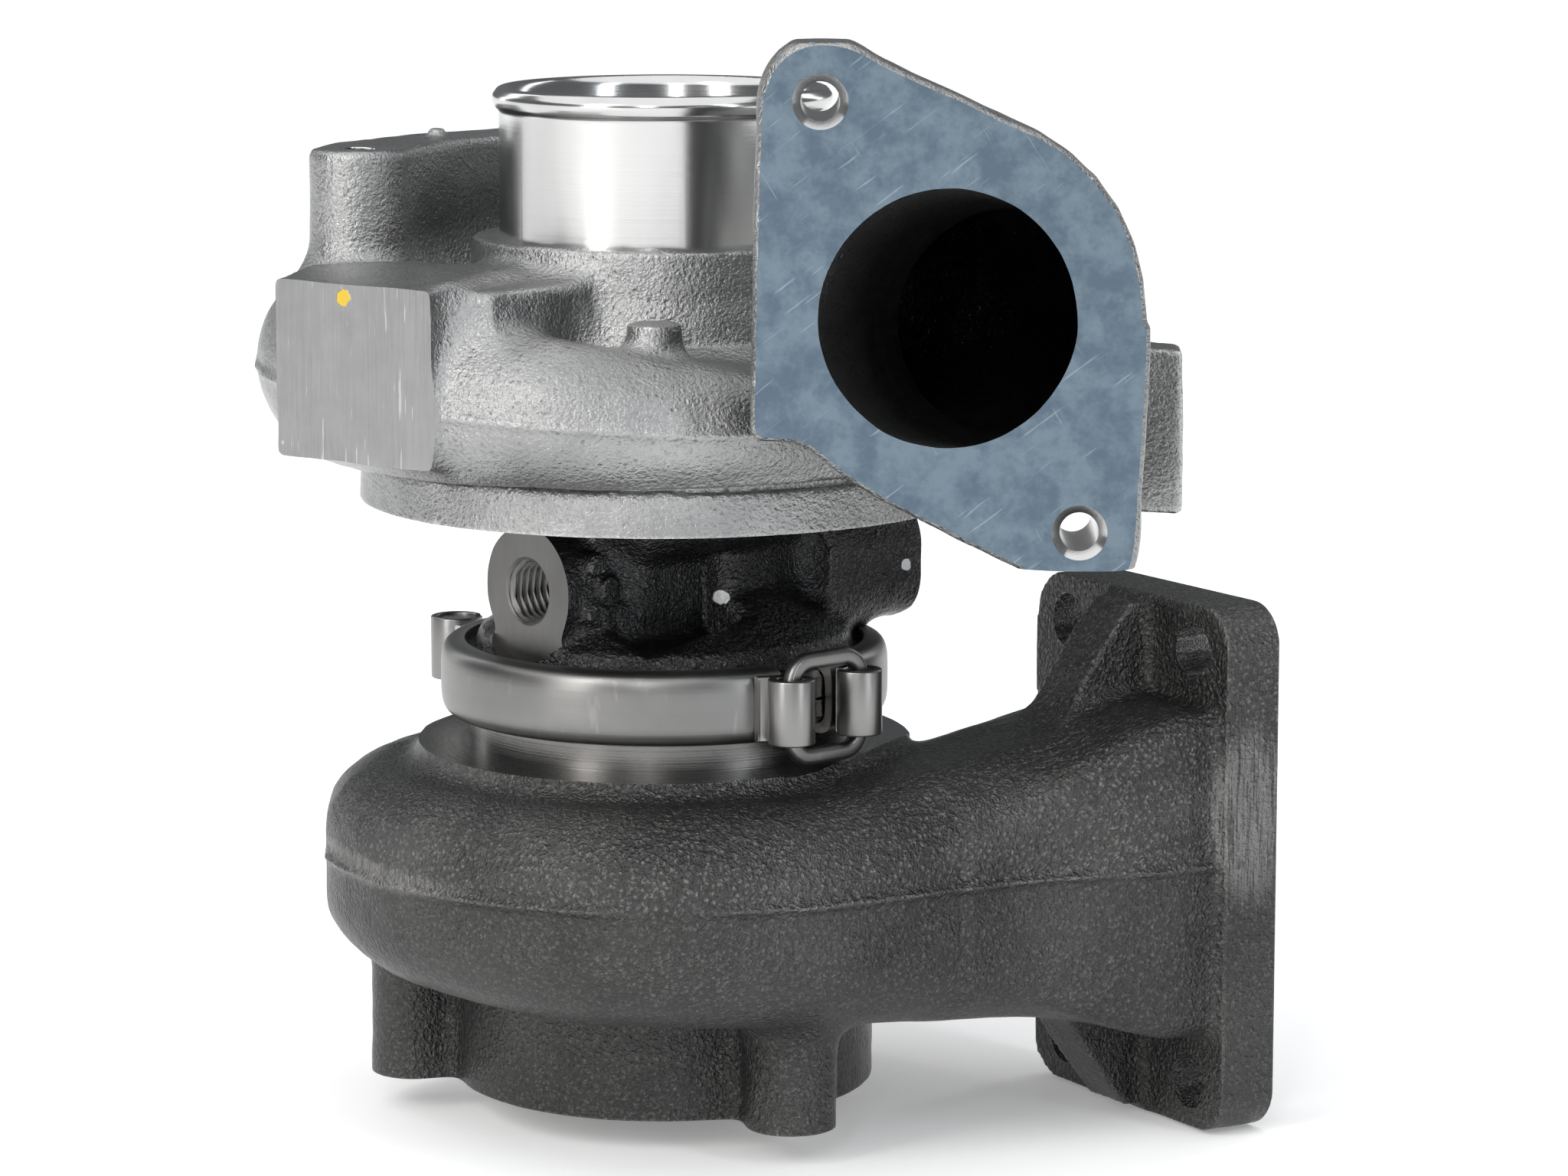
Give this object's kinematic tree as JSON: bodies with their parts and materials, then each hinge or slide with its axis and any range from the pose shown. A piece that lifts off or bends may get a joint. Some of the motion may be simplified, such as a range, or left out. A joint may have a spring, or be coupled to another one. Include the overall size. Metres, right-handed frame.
{
  "type": "turbocharger",
  "caption": "Oil-cooled turbocharger with fixed turbine, cast scroll housings, V-band clamp, flanged inlet and outlet ports and a full rotor inside.",
  "frame": {"origin": "centre of the object's footprint at the height of its lowest edge, the foot of the turbine inlet flange", "axes": "+Z along the rotor axis towards the compressor inlet, -Y the way the compressor outlet faces, +X towards the turbine inlet flange"},
  "size_m": [0.1887, 0.1581, 0.2046],
  "materials": {
    "cast_aluminium": "as cast, fine sand grain, turned and milled faces bright",
    "cast_iron_grey": "as cast, coarse sand grain",
    "cast_iron_black": "as cast, oiled black, machined faces grey",
    "stainless_sheet": "pressed satin stainless with slight heat tint",
    "machined_steel": "turned and ground",
    "spring_steel": "blued spring steel",
    "nickel_alloy": "investment cast, matt",
    "wheel_aluminium": "cast and machined, fine satin",
    "bearing_bronze": "turned bronze",
    "black_rubber": "moulded matt"
  },
  "bodies": {
    "housings": {"compressor_housing": "cast_aluminium", "compressor_housing_o_ring": "black_rubber", "compressor_snap_ring": "spring_steel", "seal_plate": "cast_aluminium", "seal_plate_o_ring": "black_rubber", "seal_plate_snap_ring": "spring_steel", "bearing_housing": "cast_iron_black", "oil_deflector": "machined_steel", "thrust_bearing": "bearing_bronze", "heat_shield": "stainless_sheet", "turbine_piston_ring": "spring_steel", "compressor_piston_ring": "spring_steel", "journal_circlip_1": "spring_steel", "journal_circlip_2": "spring_steel", "journal_circlip_3": "spring_steel", "journal_circlip_4": "spring_steel", "turbine_housing": "cast_iron_grey", "locating_pin": "machined_steel", "v_band_front_half": "stainless_sheet", "clamp_link": "stainless_sheet", "clamp_t_bolt": "machined_steel"},
    "rotor": {"rotor_shaft": "machined_steel", "turbine_wheel": "nickel_alloy", "compressor_wheel": "wheel_aluminium", "compressor_nut": "machined_steel", "thrust_collar": "machined_steel", "oil_thrower": "machined_steel"},
    "turbine_side_bearing": {"journal_bearing_turbine_side": "bearing_bronze"},
    "compressor_side_bearing": {"journal_bearing_compressor_side": "bearing_bronze"},
    "clamp_rear": {"v_band_rear_half": "stainless_sheet", "clamp_barrel": "machined_steel"},
    "clamp_nut": {"clamp_nut": "machined_steel"}
  },
  "joints": [
    {"name": "rotor_spin", "type": "hinge", "parent": "housings", "child": "rotor", "pos_m": [-0.0191, -0.0035, 0.0978], "axis": [0, 0, 1], "continuous": true},
    {"name": "turbine_side_bearing_float", "type": "hinge", "parent": "housings", "child": "turbine_side_bearing", "pos_m": [-0.0191, -0.0035, 0.0893], "axis": [0, 0, 1], "continuous": true},
    {"name": "compressor_side_bearing_float", "type": "hinge", "parent": "housings", "child": "compressor_side_bearing", "pos_m": [-0.0191, -0.0035, 0.1063], "axis": [0, 0, 1], "continuous": true},
    {"name": "clamp_open", "type": "hinge", "parent": "housings", "child": "clamp_rear", "pos_m": [0.01692, -0.03398, 0.08245], "axis": [0, 0, -1], "range_deg": [0, 4]},
    {"name": "clamp_nut_back_off", "type": "slide", "parent": "housings", "child": "clamp_nut", "axis": [0.7986, 0.6018, 0], "range_m": [0, 0.0075]}
  ],
  "couplings": [
    {"joint": "turbine_side_bearing_float", "follows": "rotor_spin", "ratio": 0.25},
    {"joint": "compressor_side_bearing_float", "follows": "rotor_spin", "ratio": 0.25},
    {"joint": "clamp_nut_back_off", "follows": "clamp_open", "m_per_rad": 0.094}
  ]
}
